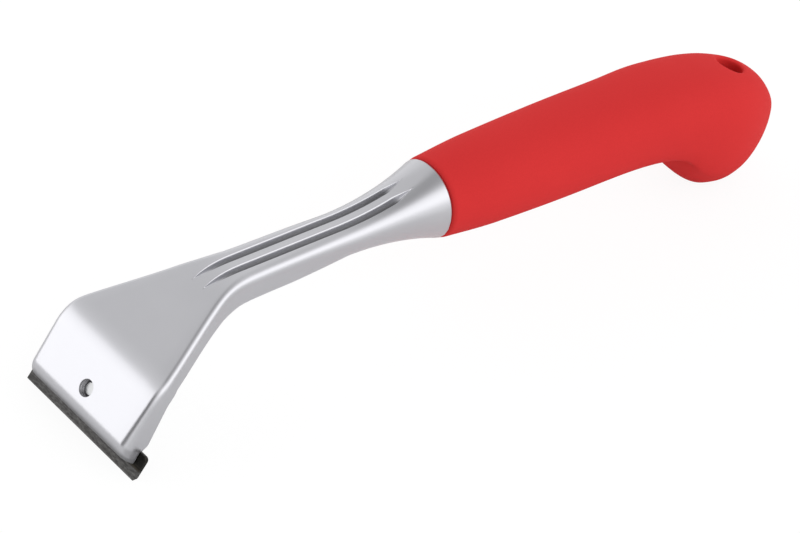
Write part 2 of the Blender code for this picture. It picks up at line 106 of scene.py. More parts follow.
EDGES_GROW_FROM = 0.7       # share of the way from the bend to the neck where the edges get rounder
HOLLOW_PLACES = (0.06, 0.3, 0.5, 0.7, 0.94)    # sections of the space below the plate, by share of its length

# Neck, collar, tang and flutes
NECK_WIDTH = 14.1 * MM
NECK_DEPTHS = [(0, 9.2), (8, 9.5), (18, 9.8), (28, 9.6), (37, 9.2)]    # by millimetres past the shoulder
NECK_EDGES = [(0, 2.9), (20, 3.2), (37, 4.2)]                          # rounding of the upper edges
NECK_UNDER_EDGES = [(0, 1.6), (20, 2.8), (37, 3.9)]
COLLAR_RADIUS = 11.9 * MM
COLLAR_BREAK = 0.5 * MM     # small chamfer round the collar's rear rim
FLARE_LENGTH = 36 * MM
FLARE_POWER = 2.2
ROUND_EDGE = 0.96
TANG_RADIUS = 5.5 * MM
TANG_LENGTH = 62 * MM
FLUTE_START = 36.8 * MM     # from the blade's edge
FLUTE_END = 111.0 * MM
FLUTE_BLUNT = 8             # how blunt the flutes' front ends are
FLUTE_RAMP = 6.0 * MM       # straight rise at their rear ends
FLUTE_SPACING = 4.8 * MM
FLUTE_WIDTH = 2.7 * MM
FLUTE_DEPTH = 2.0 * MM
FLUTE_BEVEL = 0.26 * MM     # bevel along a flute's rims, at 45 degrees
BEVEL_SHOWS = 0.8           # share of the bevel that is left above the flute's bowl
FLUTE_FLATNESS = 4          # power of the bowl: more is a flatter floor and steeper sides
LEAST_FLUTE = 0.2           # share of a flute's width below which a section's points get no closer
RIM_PLACES = (0.25, 0.5, 0.68, 0.79, 0.86, 0.91, 0.95, 0.98, 1.0, 1.02, 1.05, 1.1, 1.18)    # in half widths
TIGHT_STEP = 0.01 * MM      # between a section's points where its flat top has no room for them

# Points and rings of the head's sections
BETWEEN_FLUTES = 3
BESIDE_FLUTES = 4
EDGE_STEPS = 10
SIDE_STEPS = 5
UNDER_STEPS = 6
NOSE_STEPS = 18
LIP_STEPS = 10
BEND_STEPS = 18
PLATE_STEPS = 30
NECK_STEPS = 110

# Painted shade on the casting, with a duller finish under it, as shares of the darkest: in the hole, on the
# nose, on the lip's sides by the blade and in the flutes
HOLE_SHADE = 0.55
NOSE_SHADE = 0.9
NOSE_SHADE_DROPS = (0.07, 0.37)            # drop of the nose's curve over which the shade comes in
SIDE_SHADE = 0.5
SIDE_SHADE_BELOW = (0.4 * MM, 1.6 * MM)    # below the lip's flat part, at its sides
SIDE_SHADE_FROM = 0.1 * MM
FLUTE_SHADE_DEPTHS = (0.35, 1.0)           # share of a flute's depth
FLUTE_SHADE_SIZES = (0.55, 1.0)            # share of its width

# Clamp
SCREW_AT = 12.7 * MM        # from the blade's edge, along the lip
SCREW_RECESS = 1.8 * MM
SCREW_HEAD_RADIUS = 5.2 * MM
SCREW_HEAD_HEIGHT = 3.6 * MM
SCREW_HEAD_EDGE = 0.8 * MM
SCREW_HEAD_BREAK = 0.2 * MM    # chamfer below the head
SCREW_SIDES = 48
SCREW_EDGE_STEPS = 6
TIP_NARROWER = 0.45 * MM    # than the thread's root
TIP_BREAK = 0.05 * MM
TIP_LENGTH = 0.5 * MM       # before the thread starts
RUN_OUT = 0.6 * MM          # from the thread's end to the head
PLAIN_SHANK = 0.4 * MM
SOCKET_RADIUS = 2.3 * MM
SOCKET_DEPTH = 2.0 * MM
THREAD_RADIUS = 2.45 * MM   # mean radius
THREAD_HEIGHT = 0.5 * MM    # from root to crest
THREAD_PITCH = 1.0 * MM
THREAD_STEPS = 8            # rings for each turn
THREAD_MOUTH = 0.1 * MM     # chamfer round the lip's threaded hole
THREAD_INSET = 0.5 * MM     # plain part of that hole, before its thread
WASHER_RADIUS = 4.9 * MM
WASHER_HOLE = 3.1 * MM
WASHER_THICK = 1.3 * MM
WASHER_SPLIT = math.radians(14)
WASHER_BREAK = 0.2 * MM
WASHER_STEPS = 90
CLAMP_THICK = 2.5 * MM
CLAMP_FOOT = 2.6 * MM
CLAMP_CHAMFER = 0.8 * MM
CLAMP_GRIP = 5.0 * MM
CLAMP_REACH = 8.0 * MM
CLAMP_SIDE_GAP = 0.6 * MM
CLAMP_BREAK = 0.3 * MM

# Grip
GRIP_PROUD = 0.3 * MM
GRIP_FRONT_ROUND = 1.4 * MM
SLEEVE_WALL = 3.6 * MM
CORE_END = 8.0 * MM
HOLE_RADIUS = 4.3 * MM
HOLE_LINING = 2.6 * MM
HOLE_FROM_END = 20 * MM
HOLE_ROUND = 1.3 * MM       # soft rims of the hanging hole
MOUTH_TURN = math.radians(80)
MOUTH_STEPS = 8
GRIP_STEPS = 130
FRONT_STEPS = 6
NOTCH_CLEAR = 0.3 * MM      # no other ring lies this close to the notch's
LAST_RING = 0.02 * MM       # from the grip's end
CORE_STEPS = 40
CORE_SIDES = 48

# Side and plan views of the grip, in millimetres from the handle's axis.
# Places near the collar are measured from the collar, and those of the knob from the grip's end.
TOP_NEAR = [(20, 13.1), (46, 13.2)]
TOP_FAR = [(64, 12.6), (51.4, 12.1), (36.4, 10.1), (22.4, 6.7), (10, 4.0), (0, -3.6)]
UNDER_NEAR = [(20, -13.9), (50, -14.6), (64, -14.5), (76, -14.8)]
NOTCH = (44.7, -17.2)
MIDDLE_NEAR = [(0, 0), (46, -0.5)]
MIDDLE_FAR = [(57, -1.2), (44.7, -4.8), (33, -9.8), (22, -13.0), (0, -16.2)]
KNOB_UNDER = [(80, 40), (56.7, 2), (44.7, -17.2), (38.7, -27.2), (31.7, -32.4), (22.7, -34.2), (0, -28.4)]
WIDTH_NEAR = [(20, 13.6), (46, 14.1)]
WIDTH_FAR = [(70, 14.2), (48.4, 15.3), (32.4, 16.4), (0, 12.1)]
END_ROUND = 28 * MM
END_POWERS = (2, 3)         # how blunt the end is above and below its middle
SQUARENESS = 0.4
SQUARE_FROM = 80 * MM
NOTCH_SOFT = 9.0 * MM       # how much the notch is filled in on the grip's sides
NOTCH_FADE = (math.radians(26), math.radians(47))    # angles below the sides over which that goes to nothing

# Camera, fitted to the photograph's 800 x 533 frame
PHOTO_WIDTH = 800
VIEW_AZIMUTH = math.radians(-44.957)
VIEW_ELEVATION = math.radians(38.418)
VIEW_ROLL = math.radians(9.383)
VIEW_DISTANCE = 1200 * MM
VIEW_FOCAL_PIXELS = 4143.7
VIEW_AIM = EDGE + Vector((122, 0, 20)) * MM
VIEW_SHIFT_RIGHT = -7.762 * MM
VIEW_SHIFT_UP = -9.413 * MM
SENSOR_WIDTH = 36.0

# Stage; its shades go by height for the sky, and by the cosine of the angle off the middle for gap and strip
SKY_SHADES = [(0.0, 1.0), (0.62, 0.82), (0.83, 0.74), (0.97, 0.45), (1.0, 0.4)]
DARK_GAP = (-0.934, -0.092, 0.346)     # where the studio is dark, seen from the tool
GAP_SHADES = [(0.84, 1.0), (0.94, 0.25)]
NEAR_STRIP = (0, -0.766, 0.643)        # middle of the long soft light along the tool's near side
STRIP_SHADES = [(0.87, 0.0), (0.94, 0.5), (0.98, 1.0)]
STRIP_ALONG = [(0.2, 0.0), (0.38, 1.0), (0.62, 0.82)]    # from the blade's end, at 0, to the knob's, at 1
STRIP_STRENGTH = 0.95
FLOOR_REACH = 4.0
FLOOR_DROP = 0.05 * MM
FLOOR_PAPER = 0.8
FLOOR_GLOW = 1.06
GLOW_SEEN = 0.86            # share of the glow where the floor is seen, so that it is as white as the photo's
GLOW_REFLECTED = 0.08       # and where it shows in other surfaces

# Key depths and points of the head
BLADE_FRONT = LIP_THICK + GAP
CLAMP_FRONT = BLADE_FRONT + BLADE_THICK + GAP
WASHER_FRONT = CLAMP_FRONT + CLAMP_THICK + GAP
HEAD_FRONT = WASHER_FRONT + WASHER_THICK + GAP
FLANGE_DEPTH = LIP_THICK + FLANGE_RISE
PLATE_ALONG = Vector((math.cos(PLATE_SLOPE), 0, math.sin(PLATE_SLOPE)))
LIP_FOOT = EDGE - BLADE_FRONT * LIP_BACK
BEND = LIP_FOOT + LIP_LENGTH * LIP_UP
SHOULDER = BEND + PLATE_LENGTH * PLATE_ALONG
LEVEL = Vector((1, 0, 0))


def lip_point(up, back, y=0.0):
    """Point up along the lip from the blade's edge, and back from the lip's front face."""
    return LIP_FOOT + up * LIP_UP + back * LIP_BACK + Vector((0, y, 0))


# Shader nodes

class Value:
    """An output of a node; arithmetic on it adds Math nodes."""

    def __init__(self, nodes, output):
        self.nodes = nodes
        self.output = output

    def math(self, operation, first, second):
        return self.nodes.add("Math", {"operation": operation}, {0: first, 1: second})

    def __add__(self, other):
        return self.math('ADD', self, other)

    def __sub__(self, other):
        return self.math('SUBTRACT', self, other)

    def __rsub__(self, other):
        return self.math('SUBTRACT', other, self)

    def __mul__(self, other):
        return self.math('MULTIPLY', self, other)

    __radd__ = __add__
    __rmul__ = __mul__


class Nodes:
    """A node tree, with one method that adds any node to it."""

    def __init__(self, tree):
        self.tree = tree

    def add(self, kind, settings=None, sockets=None, output=0):
        node = self.tree.nodes.new("ShaderNode" + kind)
        for name, setting in (settings or {}).items():
            if name == "stops":
                self.set_stops(node.color_ramp, setting)
            else:
                setattr(node, name, setting)
        self.fill(node, sockets or {})
        return Value(self, node.outputs[output])

    def set_stops(self, ramp, stops):
        while len(ramp.elements) < len(stops):
            ramp.elements.new(1.0)
        for element, (place, shade) in zip(ramp.elements, stops):
            element.position = place
            element.color = (shade, shade, shade, 1)

    def fill(self, node, sockets):
        for name, value in sockets.items():
            if isinstance(value, Value):
                self.tree.links.new(value.output, node.inputs[name])
            else:
                node.inputs[name].default_value = value

    def mix_colour(self, share, first, second):
        settings = {"data_type": 'RGBA'}
        return self.add("Mix", settings, {0: share, 6: first, 7: second}, 2)


class Finish(Nodes):
    """A material of the object, on Object coordinates."""

    def __init__(self, name):
        self.material = bpy.data.materials.new(name)
        self.material.use_nodes = True
        super().__init__(self.material.node_tree)
        self.shader = self.tree.nodes["Principled BSDF"]
        self.places = self.add("TexCoord", output="Object")

    def surface(self, **sockets):
        self.fill(self.shader, {name.replace("_", " "): value for name, value in sockets.items()})
        return self.material

    def noise(self, scale, detail=2.0, stretch=(1, 1, 1)):
        places = self.add("Mapping", {}, {"Vector": self.places, "Scale": stretch})
        return self.add("TexNoise", {}, {"Vector": places, "Scale": scale, "Detail": detail})

    def ramp(self, value, *stops):
        return self.add("ValToRGB", {"stops": stops}, {"Fac": value})

    def bump(self, height, distance, strength=1.0):
        return self.add("Bump", {}, {"Height": height, "Distance": distance, "Strength": strength})


def grey(shade, blue=0.0):
    return (shade, shade, shade * (1 + blue), 1)


def cast_aluminium():
    """Satin die casting: fine pebbled skin, cloudy polish, and painted shade with a duller finish in the
    flutes, the hole and on the nose.
    """
    finish = Finish("satin_cast_aluminium")
    clouds = finish.noise(55, 4)
    pebbles = finish.noise(1900, 2)
    shade = finish.add("Attribute", {"attribute_name": "recess_shade"}, output="Fac")
    polished = finish.mix_colour(clouds, grey(0.62, 0.05), grey(0.68, 0.045))
    # painted shade: the attribute darkens the polished colour towards this dark grey in the flutes, the hole
    # and on the nose
    colour = finish.mix_colour(shade, polished, grey(0.16, 0.06))
    return finish.surface(Base_Color=colour, Metallic=1.0 - shade,
                          Roughness=0.25 + 0.07 * clouds + 0.1 * shade,
                          Normal=finish.bump(pebbles, 0.012 * MM, 0.35))


def blade_steel():
    """Hardened strip: black oxide skin on its upper part, made near-black there as painted shade under the
    lip, and a grey speckled land along the ground edge, lightest right at the edge, partly worn and partly a
    painted highlight.
    """
    finish = Finish("dark_blade_steel")
    speckle = finish.noise(2400, 3, (1, 0.3, 1))
    streaks = finish.noise(900, 3, (1, 0.04, 1))
    from_edge = finish.add("VectorMath", {"operation": 'DOT_PRODUCT'},
                           {0: finish.places, 1: LIP_UP}, "Value")
    from_edge = (from_edge - EDGE.dot(LIP_UP)) * (1 / BLADE_HEIGHT) + 0.12 * streaks
    ground = finish.mix_colour(finish.ramp(speckle, (0.38, 0.0), (0.68, 1.0)),
                               (0.085, 0.082, 0.080, 1), (0.19, 0.186, 0.182, 1))
    ground = finish.mix_colour(finish.ramp(streaks, (0.45, 0.0), (0.75, 0.6)),
                               ground, (0.045, 0.044, 0.043, 1))
    # lighter band at the very edge: a worn ground edge and a painted highlight
    ground = finish.mix_colour(finish.ramp(from_edge, (0.065, 0.5), (0.155, 0.0)),
                               ground, (0.3, 0.295, 0.29, 1))
    # upper part: black oxide, made near-black as painted shade where the lip's nose hangs over it
    oxide_and_painted_shade = finish.mix_colour(finish.ramp(streaks, (0.5, 0.0), (0.72, 0.6)),
                              (0.016, 0.015, 0.013, 1), (0.09, 0.075, 0.055, 1))
    colour = finish.mix_colour(finish.ramp(from_edge, (0.42, 0.0), (0.52, 1.0)), ground, oxide_and_painted_shade)
    return finish.surface(Base_Color=colour, Metallic=0.8, Roughness=0.42 + 0.2 * speckle,
                          Normal=finish.bump(0.5 * speckle + 0.5 * streaks, 0.03 * MM, 0.6))


def plated_steel():
    """Zinc plating: bright, faintly cloudy grey."""
    finish = Finish("zinc_plated_steel")
    clouds = finish.noise(160, 4)
    grain = finish.noise(2400, 2)
    colour = finish.mix_colour(clouds, (0.50, 0.51, 0.53, 1), (0.66, 0.66, 0.65, 1))
    return finish.surface(Base_Color=colour, Metallic=1.0, Roughness=0.26 + 0.14 * clouds,
                          Normal=finish.bump(grain, 0.01 * MM, 0.4))


def core_plastic():
    """Black moulded plastic with a fine spark-eroded grain."""
    finish = Finish("black_core_plastic")
    grain = finish.noise(1800, 3)
    colour = finish.mix_colour(grain, (0.018, 0.018, 0.019, 1), (0.035, 0.035, 0.036, 1))
    return finish.surface(Base_Color=colour, Roughness=0.5 + 0.15 * grain,
                          Normal=finish.bump(grain, 0.03 * MM, 0.5))


def red_rubber():
    """Soft matte red moulding with a very fine grain."""
    finish = Finish("soft_red_rubber")
    grain = finish.noise(2300, 3)
    drift = finish.noise(28, 2)
    colour = finish.mix_colour(drift, (0.68, 0.034, 0.035, 1), (0.725, 0.039, 0.039, 1))
    colour = finish.mix_colour(finish.ramp(grain, (0.3, 0.15), (0.7, 0.0)), colour, (0.46, 0.017, 0.017, 1))
    return finish.surface(Base_Color=colour, Roughness=0.75 + 0.1 * grain, Specular_IOR_Level=0.1,
                          Normal=finish.bump(grain, 0.04 * MM, 0.4))


# Mesh helpers

def loft(rings):
    """Closed skin over a row of rings of points, all with the same count.

    A plain stack of circles is bridged first, and then every point goes to its place.
    """
    bm = bmesh.new()
    circles, loops = [], []
    for level, ring in enumerate(rings):
        verts = bmesh.ops.create_circle(bm, segments=len(ring), radius=1.0,
                                        matrix=Matrix.Translation((0, 0, level)))["verts"]
        circles.append(verts)
        loops.append(list({edge for vert in verts for edge in vert.link_edges}))
    for near, far in zip(loops, loops[1:]):
        bmesh.ops.bridge_loops(bm, edges=near + far)
    bmesh.ops.holes_fill(bm, edges=loops[0] + loops[-1])
    for verts, ring in zip(circles, rings):
        for vert, point in zip(verts, ring):
            vert.co = point
    bm.normal_update()
    bmesh.ops.recalc_face_normals(bm, faces=bm.faces)
    return bm


def bar(start, end, radius, sides=64):
    """Round bar between two points."""
    axis = end - start
    place = Matrix.Translation((start + end) / 2) @ axis.to_track_quat('Z', 'Y').to_matrix().to_4x4()
    bm = bmesh.new()
    bmesh.ops.create_cone(bm, cap_ends=True, segments=sides, radius1=radius, radius2=radius,
                          depth=axis.length, matrix=place)
    return bm


def slab(outline, width):
    """Outline of (up, back) points in the lip's side view, drawn out across Y."""
    bm = bmesh.new()
    face = bm.faces.new([bm.verts.new(lip_point(up, back, -width / 2)) for up, back in outline])
    grown = bmesh.ops.extrude_face_region(bm, geom=[face])["geom"]
    far_side = [item for item in grown if isinstance(item, bmesh.types.BMVert)]
    bmesh.ops.translate(bm, verts=far_side, vec=(0, width, 0))
    bmesh.ops.recalc_face_normals(bm, faces=bm.faces)
    return bm


def break_edges(bm, width, segments=2, angle=math.radians(30)):
    """Round off every edge that turns by more than an angle."""
    sharp = [edge for edge in bm.edges if edge.calc_face_angle(0.0) > angle]
    bmesh.ops.bevel(bm, geom=sharp, offset=width, segments=segments, profile=0.5, affect='EDGES',
                    material=-1, clamp_overlap=True)


def make_object(name, bm):
    mesh = bpy.data.meshes.new(name)
    bm.to_mesh(mesh)
    bm.free()
    obj = bpy.data.objects.new(name, mesh)
    bpy.context.scene.collection.objects.link(obj)
    return obj


def carve(obj, cutter):
    """Take a shape out of an object."""
    tool = make_object("cutting_shape", cutter)
    boolean = obj.modifiers.new("carve", 'BOOLEAN')
    boolean.operation = 'DIFFERENCE'
    boolean.solver = 'EXACT'
    boolean.object = tool
    bpy.context.view_layer.update()
    carved = obj.evaluated_get(bpy.context.evaluated_depsgraph_get()).to_mesh()
    bm = bmesh.new()
    bm.from_mesh(carved)
    bmesh.ops.remove_doubles(bm, verts=bm.verts, dist=SAME_POINT)
    bmesh.ops.dissolve_degenerate(bm, edges=bm.edges, dist=SAME_POINT)
    obj.modifiers.clear()
    bm.to_mesh(obj.data)
    bm.free()
    bpy.data.objects.remove(tool)


def put_on(obj, body, node, material, angle=math.radians(35)):
    """Give a piece its finish and its place on a body, in place of a CAD node."""
    obj.data.materials.clear()
    obj.data.materials.append(material)
    obj.data.shade_smooth()
    obj.data.set_sharp_from_angle(angle=angle)
    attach(obj, body)
    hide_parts(node)
    return obj


def curve_through(points):
    """Smooth function through (x, value) points that doesn't overshoot between them."""
    points = sorted(points)
    steps = [(y1 - y0) / (x1 - x0) for (x0, y0), (x1, y1) in zip(points, points[1:])]
    slopes = [steps[0]]
    for before, after in zip(steps, steps[1:]):
        slopes.append(2 * before * after / (before + after) if before * after > 0 else 0.0)
    slopes.append(steps[-1])

    def value(x):
        i = max([j for j in range(len(steps)) if points[j][0] <= x], default=0)
        (x0, y0), (x1, y1) = points[i], points[i + 1]
        t = min((x - x0) / (x1 - x0), 1.0)
        start, stop, rise = slopes[i] * (x1 - x0), slopes[i + 1] * (x1 - x0), y1 - y0
        return y0 + t * (start + t * (3 * rise - 2 * start - stop + t * (start + stop - 2 * rise)))

    return value


def shares(count):
    """Even steps from 0 to 1, both ends included."""
    return [i / count for i in range(count + 1)]


def softer_least(a, b, blend):
    """The smaller of two values, with the corner between them rounded off."""
    return (a + b - math.hypot(a - b, blend)) / 2


def ramp_up(value, start, end):
    """Smooth step from 0 at a start value to 1 at an end value."""
    share = min(max((value - start) / (end - start), 0.0), 1.0)
    return share * share * (3 - 2 * share)


# Head casting

def corner_arc(before, corner, after, radius, steps):
    """Points and headings round one corner of the head's top line."""
    into = (corner - before).normalized()
    out = (after - corner).normalized()
    turn = into.angle(out)
    axis = into.cross(out).normalized()
    start = corner - radius * math.tan(turn / 2) * into
    centre = start + radius * axis.cross(into)
    spins = [Matrix.Rotation(turn * share, 3, axis) for share in shares(steps)]
    return [(centre + spin @ (start - centre), spin @ into) for spin in spins]


def plate_half_width(along_plate):
    """Half the head's width, by distance past the bend."""
    wide = BEND_WIDTH / 2
    tapered = wide - math.tan(SIDE_TAPER) * (along_plate - TAPER_START)
    return -softer_least(-softer_least(wide, tapered, BEND_FILLET), -NECK_WIDTH / 2, NECK_FILLET)


def flute_size(x):
    """Width and depth of the flutes as a share of their largest, by distance from the blade's edge."""
    middle, half = (FLUTE_START + FLUTE_END) / 2, (FLUTE_END - FLUTE_START) / 2
    if x > middle:
        return min(max((FLUTE_END - x) / FLUTE_RAMP, 0.0), 1.0)
    return max(0.0, 1 - ((middle - x) / half) ** FLUTE_BLUNT)


def flute_drop(across, size):
    """Depth of a flute below the head's top, by distance from the mid-plane: a bevel, then a steep bowl."""
    off_centre = abs(abs(across) - FLUTE_SPACING / 2)
    inside = FLUTE_WIDTH / 2 * size - off_centre
    if inside <= 0:
        return 0.0
    bevel = FLUTE_BEVEL * size
    bowl = 1 - (off_centre / (FLUTE_WIDTH / 2 * size - BEVEL_SHOWS * bevel)) ** FLUTE_FLATNESS
    return max(min(inside, bevel), FLUTE_DEPTH * size * bowl)


def top_places(flat, size):
    """Distances from the mid-plane of a section's points across the top, close together over a flute."""
    middle, reach = FLUTE_SPACING / 2, FLUTE_WIDTH / 2 * max(size, LEAST_FLUTE)
    inner, outer = middle - RIM_PLACES[-1] * reach, middle + RIM_PLACES[-1] * reach
    last = flat if flat > outer else outer + BESIDE_FLUTES * TIGHT_STEP
    places = [inner * share for share in shares(BETWEEN_FLUTES)[:-1]]
    places += [middle - reach * step for step in RIM_PLACES[::-1]] + [middle]
    places += [middle + reach * step for step in RIM_PLACES]
    return places + [outer + (last - outer) * share for share in shares(BESIDE_FLUTES)[1:]]


def head_ring(top, along, half_width, depth, edge, under_edge, drop=0.0, size=0.0, places=None):
    """Section of the casting that hangs below a point of its top line, square to its heading."""
    down = Vector((along.z, 0, -along.x))
    flat = half_width - edge
    half = []
    for across in places or top_places(flat, size):
        over = min(max(0.0, across - flat), edge)
        half.append((across, drop + edge - math.sqrt(edge ** 2 - over ** 2) + flute_drop(across, size)))
    first = math.asin(min(max(0.0, half[-1][0] - flat), edge) / edge)
    for share in shares(EDGE_STEPS)[1:]:
        angle = first + share * (math.pi / 2 - first)
        half.append((flat + edge * math.sin(angle), drop + edge - edge * math.cos(angle)))
    side_end = depth - under_edge
    half += [(half_width, drop + edge + (side_end - drop - edge) * share) for share in shares(SIDE_STEPS)[1:]]
    for share in shares(UNDER_STEPS)[1:]:
        angle = share * math.pi / 2
        half.append((half_width - under_edge * (1 - math.cos(angle)),
                     side_end + under_edge * math.sin(angle)))
    half += [((half_width - under_edge) * (1 - share), depth) for share in shares(UNDER_STEPS)[1:]]
    other_half = [(-across, low) for across, low in half[-2:0:-1]]
    return [top + low * down + Vector((0, across, 0)) for across, low in half + other_half]


def nose_rings():
    """Rounded lower end of the lip, with round corners."""
    rings = []
    for share in shares(NOSE_STEPS):
        angle = share * math.pi / 2
        rise = NOSE_RADIUS * (1 - math.cos(angle))
        short = max(0.0, LIP_CORNER - rise)
        half_width = LIP_WIDTH / 2 - LIP_CORNER + math.sqrt(LIP_CORNER ** 2 - short ** 2)
        rings.append(head_ring(lip_point(BLADE_SHOWS + rise, 0), LIP_UP, half_width, FLANGE_DEPTH,
                               LIP_EDGE, UNDER_RADIUS, NOSE_RADIUS * (1 - math.sin(angle))))
    return rings


def plate_line():
    """Bend, straight and shoulder of the head's top line, as points and headings."""
    bend = corner_arc(LIP_FOOT, BEND, SHOULDER, BEND_RADIUS, BEND_STEPS)
    shoulder = corner_arc(BEND, SHOULDER, SHOULDER + LEVEL, SHOULDER_RADIUS, BEND_STEPS)
    start, straight = bend[-1][0], shoulder[0][0] - bend[-1][0]
    middle = [(start + share * straight, PLATE_ALONG) for share in shares(PLATE_STEPS)[1:-1]]
    return bend, middle, shoulder


def lip_rings():
    """Straight lip between the nose and the bend, whose flanges get lower on the way up."""
    low, high = BLADE_SHOWS + NOSE_RADIUS, (plate_line()[0][0][0] - LIP_FOOT).dot(LIP_UP)
    depth = curve_through([(low, FLANGE_DEPTH), (high, PLATE_DEPTHS[0][1] * MM)])
    last_width = plate_half_width((lip_point(high, 0) - BEND).dot(PLATE_ALONG))
    width = curve_through([(low, LIP_WIDTH / 2), (high, last_width)])
    edge = curve_through([(low, LIP_EDGE), (high, EDGE_RADIUS)])
    places = [low + share * (high - low) for share in shares(LIP_STEPS)[1:-1]]
    return [head_ring(lip_point(up, 0), LIP_UP, width(up), depth(up), edge(up), UNDER_RADIUS)
            for up in places]


def plate_rings():
    """Bend, plate and shoulder, with the depth going from the lip's to the neck's."""
    bend, middle, shoulder = plate_line()
    bend_ways = [BEND_SHARE * share for share in shares(BEND_STEPS)]
    middle_ways = [BEND_SHARE + (1 - 2 * BEND_SHARE) * share for share in shares(PLATE_STEPS)[1:-1]]
    ways = bend_ways + middle_ways + [1 - BEND_SHARE + way for way in bend_ways]
    depth = curve_through([(way, deep * MM) for way, deep in PLATE_DEPTHS])
    edge = curve_through([(0, EDGE_RADIUS), (EDGES_GROW_FROM, EDGE_RADIUS), (1, NECK_EDGES[0][1] * MM)])
    under = curve_through([(0, UNDER_RADIUS), (EDGES_GROW_FROM, UNDER_RADIUS),
                           (1, NECK_UNDER_EDGES[0][1] * MM)])
    rings = []
    for way, (point, along) in zip(ways, bend + middle + shoulder):
        half_width = plate_half_width((point - BEND).dot(PLATE_ALONG))
        rings.append(head_ring(point, along, half_width, depth(way), edge(way), under(way),
                               size=flute_size(point.x - EDGE.x)))
    return rings


def neck_share(x):
    """How far the neck has flared into the collar at a distance along X."""
    return max(0.0, (x - COLLAR.x + FLARE_LENGTH) / FLARE_LENGTH) ** FLARE_POWER


NECK_START = plate_line()[2][-1][0].x


def neck_ring(x, inset=0.0):
    """Section of the neck at a distance along X; the flare turns it into the collar's circle."""
    past = min((x - NECK_START) / MM, NECK_DEPTHS[-1][0])
    share = neck_share(x)
    plain = [plate_half_width((x - BEND.x) / PLATE_ALONG.x), SHOULDER.z]
    plain += [MM * curve_through(points)(past) for points in (NECK_DEPTHS, NECK_EDGES, NECK_UNDER_EDGES)]
    round_edge = ROUND_EDGE * COLLAR_RADIUS
    full = [COLLAR_RADIUS, COLLAR.z + COLLAR_RADIUS, 2 * COLLAR_RADIUS, round_edge, round_edge]
    half_width, top, depth, edge, under = [a + share * (b - a) for a, b in zip(plain, full)]
    return head_ring(Vector((x, 0, top - inset)), LEVEL, half_width - inset, depth - 2 * inset,
                     edge - inset, under - inset, size=flute_size(x - EDGE.x))


def neck_rings():
    """Neck that flares into the round collar, and the tang behind it."""
    end = COLLAR.x - COLLAR_BREAK
    rings = [neck_ring(NECK_START + share * (end - NECK_START)) for share in shares(NECK_STEPS)[1:]]
    rings.append(neck_ring(COLLAR.x, COLLAR_BREAK))
    for x in (COLLAR.x, COLLAR.x + TANG_LENGTH):
        edge = ROUND_EDGE * TANG_RADIUS
        rings.append(head_ring(Vector((x, 0, COLLAR.z + TANG_RADIUS)), LEVEL, TANG_RADIUS, 2 * TANG_RADIUS,
                               edge, edge))
    return rings


def hollow_rings():
    """Space under the plate, between its side walls."""
    bend, _, shoulder = plate_line()
    start, straight = bend[-1][0], shoulder[0][0] - bend[-1][0]
    rings = []
    for share in HOLLOW_PLACES:
        point = start + share * straight
        inside = plate_half_width((point - BEND).dot(PLATE_ALONG)) - HEAD_WALL
        places = [(inside - UNDER_RADIUS) * step for step in shares(UNDER_STEPS)]
        rings.append(head_ring(point, PLATE_ALONG, inside, FLANGE_DEPTH, UNDER_RADIUS, UNDER_RADIUS,
                               HEAD_WALL, places=places))
    return rings


def screw_ring(along, radius, height=0.0):
    """Ring round the screw's axis, back from the lip's front face: plain, or on a thread of some height."""
    centre = lip_point(SCREW_AT, along)
    across = Vector((0, 1, 0))
    upright = LIP_BACK.cross(across)
    points = []
    for i in range(SCREW_SIDES):
        turn = i / SCREW_SIDES
        ridge = abs(2 * ((along / THREAD_PITCH - turn) % 1.0) - 1) - 0.5
        angle = 2 * math.pi * turn
        reach = radius + height * ridge
        points.append(centre + reach * (math.cos(angle) * across + math.sin(angle) * upright))
    return points


def thread_rings(start, end, radius):
    count = round((end - start) / THREAD_PITCH * THREAD_STEPS)
    return [screw_ring(start + share * (end - start), radius, THREAD_HEIGHT) for share in shares(count)]


def threaded_hole():
    """Hole through the lip: small chamfer, short plain mouth, then the thread."""
    bore = THREAD_RADIUS + GAP - THREAD_HEIGHT / 2
    mouth = [screw_ring(-PAST, bore + THREAD_MOUTH + PAST), screw_ring(THREAD_MOUTH, bore),
             screw_ring(THREAD_INSET - THREAD_MOUTH, bore)]
    return loft(mouth + thread_rings(THREAD_INSET, LIP_THICK + PAST, THREAD_RADIUS + GAP))


def painted_recess_shade_at(place):
    """How much painted shade, with a duller finish, a point of the casting gets, from 0 to 1: in a flute or
    the hole, on the nose, or on the lip's sides beside the blade.
    """
    from_axis = place - lip_point(SCREW_AT, 0)
    back = from_axis.dot(LIP_BACK)
    if (from_axis - back * LIP_BACK).length < THREAD_RADIUS + THREAD_HEIGHT + GAP:
        return HOLE_SHADE * ramp_up(back, 0, THREAD_MOUTH)
    below = BLADE_SHOWS + NOSE_RADIUS - from_axis.dot(LIP_UP) - SCREW_AT
    if below > 0 and back < LIP_THICK:
        drop = 1 - math.sqrt(max(0.0, 1 - (below / NOSE_RADIUS) ** 2))
        at_side = 1 - ramp_up(LIP_WIDTH / 2 - abs(place.y), SIDE_SHADE_FROM, LIP_EDGE / 2)
        return max(NOSE_SHADE * ramp_up(drop, *NOSE_SHADE_DROPS),
                   SIDE_SHADE * at_side * ramp_up(below, *SIDE_SHADE_BELOW))
    size = flute_size(place.x - EDGE.x)
    if place.z < HANDLE_HEIGHT or size <= 0:
        return 0.0
    depth = flute_drop(place.y, size) / FLUTE_DEPTH
    return ramp_up(depth, *FLUTE_SHADE_DEPTHS) * ramp_up(size, *FLUTE_SHADE_SIZES)


def shade_recesses(mesh):
    """Write each point's painted shade, for the finish to darken and dull."""
    shade = mesh.attributes.new("recess_shade", 'FLOAT', 'POINT')
    shade.data.foreach_set("value", [painted_recess_shade_at(vert.co) for vert in mesh.vertices])


